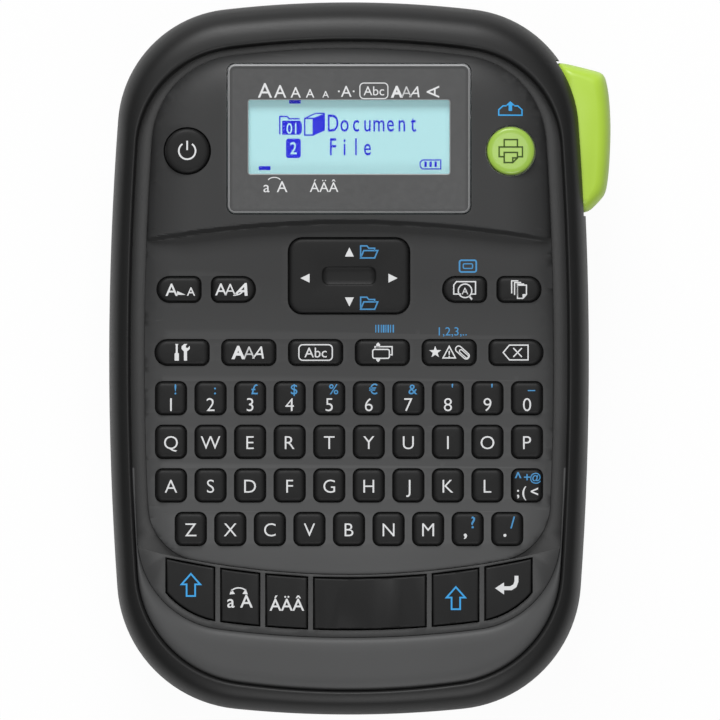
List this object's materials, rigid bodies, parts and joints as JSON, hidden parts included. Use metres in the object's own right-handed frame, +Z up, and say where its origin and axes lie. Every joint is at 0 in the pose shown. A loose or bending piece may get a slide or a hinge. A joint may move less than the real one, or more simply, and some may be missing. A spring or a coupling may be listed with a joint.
{
  "type": "handheld label maker",
  "caption": "Handheld label maker with a letter keyboard, display window under a raised hood, green print button and green side cutter lever, over a tape and battery case.",
  "frame": {"origin": "on the table under the middle of the body, on its plane of symmetry", "axes": "+X across to the cutter lever's side, +Y along to the display's end, +Z up out of the keyboard"},
  "size_m": [0.1297, 0.1841, 0.0548],
  "materials": {
    "frame_black": "fine matt grain",
    "deck_grey": "fine matt grain",
    "trough_black": "smooth satin",
    "chin_grey": "fine matt grain",
    "key_rubber": "satin rubber",
    "print_green": "gloss, clear-coated",
    "lever_green": "satin",
    "window_clear": "clear, hard-coated",
    "lcd_cell": "backlit liquid crystal",
    "mat_rubber": "matt",
    "board_green": "solder mask",
    "steel": "bright",
    "case_black": "coarse matt grain",
    "cell_jacket": "printed film",
    "gear_white": "natural nylon",
    "cassette_grey": "matt",
    "tape_white": "film",
    "ribbon_black": "film",
    "platen_rubber": "ground",
    "motor_can": "satin",
    "head_ceramic": "ceramic"
  },
  "bodies": {
    "case": {"front_frame": "frame_black", "trough_bezel": "trough_black", "chin_panel": "chin_grey", "face_panel": "deck_grey", "display_window": "window_clear", "lcd_module": "lcd_cell", "keypad_mat": "mat_rubber", "main_board": "board_green", "board_screws": "steel", "rear_case": "case_black", "case_screws": "steel", "hinge_pins": "steel", "battery_cells": "cell_jacket", "battery_contacts": "steel", "dc_jack": "trough_black", "cassette_case": "cassette_grey", "cassette_lid": "cassette_grey", "print_chassis": "cassette_grey", "drive_motor": "motor_can", "print_head": "head_ceramic", "fixed_blade": "steel", "lever_pin": "steel", "lever_spring": "steel"},
    "setup_key": {"setup_key": "key_rubber"},
    "style_key": {"style_key": "key_rubber"},
    "frame_key": {"frame_key": "key_rubber"},
    "length_key": {"length_key": "key_rubber"},
    "symbol_key": {"symbol_key": "key_rubber"},
    "delete_key": {"delete_key": "key_rubber"},
    "text_size_key": {"text_size_key": "key_rubber"},
    "font_key": {"font_key": "key_rubber"},
    "preview_key": {"preview_key": "key_rubber"},
    "copies_key": {"copies_key": "key_rubber"},
    "digit_keys": {"digit_keys": "key_rubber"},
    "upper_letter_keys": {"upper_letter_keys": "key_rubber"},
    "home_letter_keys": {"home_letter_keys": "key_rubber"},
    "lower_letter_keys": {"lower_letter_keys": "key_rubber"},
    "shift_left_key": {"shift_left_key": "key_rubber"},
    "caps_key": {"caps_key": "key_rubber"},
    "accent_key": {"accent_key": "key_rubber"},
    "space_key": {"space_key": "key_rubber"},
    "shift_right_key": {"shift_right_key": "key_rubber"},
    "return_key": {"return_key": "key_rubber"},
    "power_button": {"power_button": "key_rubber"},
    "print_button": {"print_button": "print_green"},
    "nav_pivot": {"nav_pivot": "gear_white"},
    "nav_pad": {"nav_pad": "key_rubber"},
    "battery_cover": {"battery_cover": "case_black"},
    "cassette_cover": {"cassette_cover": "case_black"},
    "idler": {"idler_gear": "gear_white"},
    "motor_rotor": {"motor_pinion": "gear_white"},
    "platen": {"platen_shaft": "gear_white", "platen_roller": "platen_rubber"},
    "ribbon_takeup": {"takeup_gear": "gear_white", "ribbon_takeup_spool": "ribbon_black"},
    "tape_roll": {"tape_roll": "tape_white"},
    "ribbon_supply": {"ribbon_supply_spool": "ribbon_black"},
    "cutter_lever": {"cutter_lever": "lever_green"},
    "cutter_blade": {"cutter_blade": "steel"}
  },
  "joints": [
    {"name": "setup_press", "type": "slide", "parent": "case", "child": "setup_key", "axis": [0, 0, -1], "range_m": [0, 0.0008], "stiffness_N_per_m": 1200},
    {"name": "style_press", "type": "slide", "parent": "case", "child": "style_key", "axis": [0, 0, -1], "range_m": [0, 0.0008], "stiffness_N_per_m": 1200},
    {"name": "frame_press", "type": "slide", "parent": "case", "child": "frame_key", "axis": [0, 0, -1], "range_m": [0, 0.0008], "stiffness_N_per_m": 1200},
    {"name": "length_press", "type": "slide", "parent": "case", "child": "length_key", "axis": [0, 0, -1], "range_m": [0, 0.0008], "stiffness_N_per_m": 1200},
    {"name": "symbol_press", "type": "slide", "parent": "case", "child": "symbol_key", "axis": [0, 0, -1], "range_m": [0, 0.0008], "stiffness_N_per_m": 1200},
    {"name": "delete_press", "type": "slide", "parent": "case", "child": "delete_key", "axis": [0, 0, -1], "range_m": [0, 0.0008], "stiffness_N_per_m": 1200},
    {"name": "text_size_press", "type": "slide", "parent": "case", "child": "text_size_key", "axis": [0, 0, -1], "range_m": [0, 0.0008], "stiffness_N_per_m": 1200},
    {"name": "font_press", "type": "slide", "parent": "case", "child": "font_key", "axis": [0, 0, -1], "range_m": [0, 0.0008], "stiffness_N_per_m": 1200},
    {"name": "preview_press", "type": "slide", "parent": "case", "child": "preview_key", "axis": [0, 0, -1], "range_m": [0, 0.0008], "stiffness_N_per_m": 1200},
    {"name": "copies_press", "type": "slide", "parent": "case", "child": "copies_key", "axis": [0, 0, -1], "range_m": [0, 0.0008], "stiffness_N_per_m": 1200},
    {"name": "digit_press", "type": "slide", "parent": "case", "child": "digit_keys", "axis": [0, 0, -1], "range_m": [0, 0.0008], "stiffness_N_per_m": 12000},
    {"name": "upper_letter_press", "type": "slide", "parent": "case", "child": "upper_letter_keys", "axis": [0, 0, -1], "range_m": [0, 0.0008], "stiffness_N_per_m": 12000},
    {"name": "home_letter_press", "type": "slide", "parent": "case", "child": "home_letter_keys", "axis": [0, 0, -1], "range_m": [0, 0.0008], "stiffness_N_per_m": 12000},
    {"name": "lower_letter_press", "type": "slide", "parent": "case", "child": "lower_letter_keys", "axis": [0, 0, -1], "range_m": [0, 0.0008], "stiffness_N_per_m": 10800},
    {"name": "shift_left_press", "type": "slide", "parent": "case", "child": "shift_left_key", "axis": [0, 0, -1], "range_m": [0, 0.0008], "stiffness_N_per_m": 1200},
    {"name": "caps_press", "type": "slide", "parent": "case", "child": "caps_key", "axis": [0, 0, -1], "range_m": [0, 0.0008], "stiffness_N_per_m": 1200},
    {"name": "accent_press", "type": "slide", "parent": "case", "child": "accent_key", "axis": [0, 0, -1], "range_m": [0, 0.0008], "stiffness_N_per_m": 1200},
    {"name": "space_press", "type": "slide", "parent": "case", "child": "space_key", "axis": [0, 0, -1], "range_m": [0, 0.0008], "stiffness_N_per_m": 1200},
    {"name": "shift_right_press", "type": "slide", "parent": "case", "child": "shift_right_key", "axis": [0, 0, -1], "range_m": [0, 0.0008], "stiffness_N_per_m": 1200},
    {"name": "return_press", "type": "slide", "parent": "case", "child": "return_key", "axis": [0, 0, -1], "range_m": [0, 0.0008], "stiffness_N_per_m": 1200},
    {"name": "power_press", "type": "slide", "parent": "case", "child": "power_button", "axis": [0, 0, -1], "range_m": [0, 0.0008], "stiffness_N_per_m": 1200},
    {"name": "print_press", "type": "slide", "parent": "case", "child": "print_button", "axis": [0, 0, -1], "range_m": [0, 0.0008], "stiffness_N_per_m": 1200},
    {"name": "nav_rock_up_down", "type": "hinge", "parent": "case", "child": "nav_pivot", "pos_m": [0, 0.0214, 0.0437], "axis": [1, 0, 0], "range_deg": [-3, 3], "stiffness_Nm_per_rad": 0.4},
    {"name": "nav_rock_left_right", "type": "hinge", "parent": "nav_pivot", "child": "nav_pad", "pos_m": [0, 0.0214, 0.0437], "axis": [0, 1, 0], "range_deg": [-3, 3], "stiffness_Nm_per_rad": 0.4},
    {"name": "battery_cover_hinge", "type": "hinge", "parent": "case", "child": "battery_cover", "pos_m": [0, -0.05855, 0.00145], "axis": [-1, 0, 0], "range_deg": [0, 90]},
    {"name": "cassette_cover_hinge", "type": "hinge", "parent": "case", "child": "cassette_cover", "pos_m": [0, 0.02345, 0.00145], "axis": [-1, 0, 0], "range_deg": [0, 90]},
    {"name": "idler_spin", "type": "hinge", "parent": "case", "child": "idler", "pos_m": [0.03143, 0.05057, 0.027], "axis": [0, 0, 1], "continuous": true},
    {"name": "motor_spin", "type": "hinge", "parent": "case", "child": "motor_rotor", "pos_m": [0.04, 0.039, 0.027], "axis": [0, 0, 1], "continuous": true},
    {"name": "platen_spin", "type": "hinge", "parent": "case", "child": "platen", "pos_m": [0.0425, 0.064, 0.027], "axis": [0, 0, 1], "continuous": true},
    {"name": "ribbon_takeup_spin", "type": "hinge", "parent": "case", "child": "ribbon_takeup", "pos_m": [0.01405, 0.05523, 0.027], "axis": [0, 0, 1], "continuous": true},
    {"name": "tape_roll_spin", "type": "hinge", "parent": "case", "child": "tape_roll", "pos_m": [-0.027, 0.05, 0.027], "axis": [0, 0, 1], "continuous": true},
    {"name": "ribbon_supply_spin", "type": "hinge", "parent": "case", "child": "ribbon_supply", "pos_m": [0.007, 0.0365, 0.027], "axis": [0, 0, 1], "continuous": true},
    {"name": "cutter_lever_hinge", "type": "hinge", "parent": "case", "child": "cutter_lever", "pos_m": [0.0548, 0.0415, 0.032], "axis": [0, 0, 1], "range_deg": [0, 6], "stiffness_Nm_per_rad": 1.5},
    {"name": "cutter_blade_slide", "type": "slide", "parent": "case", "child": "cutter_blade", "axis": [-1, 0, 0], "range_m": [0, 0.00309]}
  ],
  "couplings": [
    {"joint": "motor_spin", "follows": "idler_spin", "ratio": -3},
    {"joint": "platen_spin", "follows": "idler_spin", "ratio": -1.6364},
    {"joint": "ribbon_takeup_spin", "follows": "idler_spin", "ratio": -1.5},
    {"joint": "tape_roll_spin", "follows": "idler_spin", "ratio": -0.38503},
    {"joint": "ribbon_supply_spin", "follows": "idler_spin", "ratio": -0.81818},
    {"joint": "cutter_blade_slide", "follows": "cutter_lever_hinge", "m_per_rad": 0.0295}
  ]
}
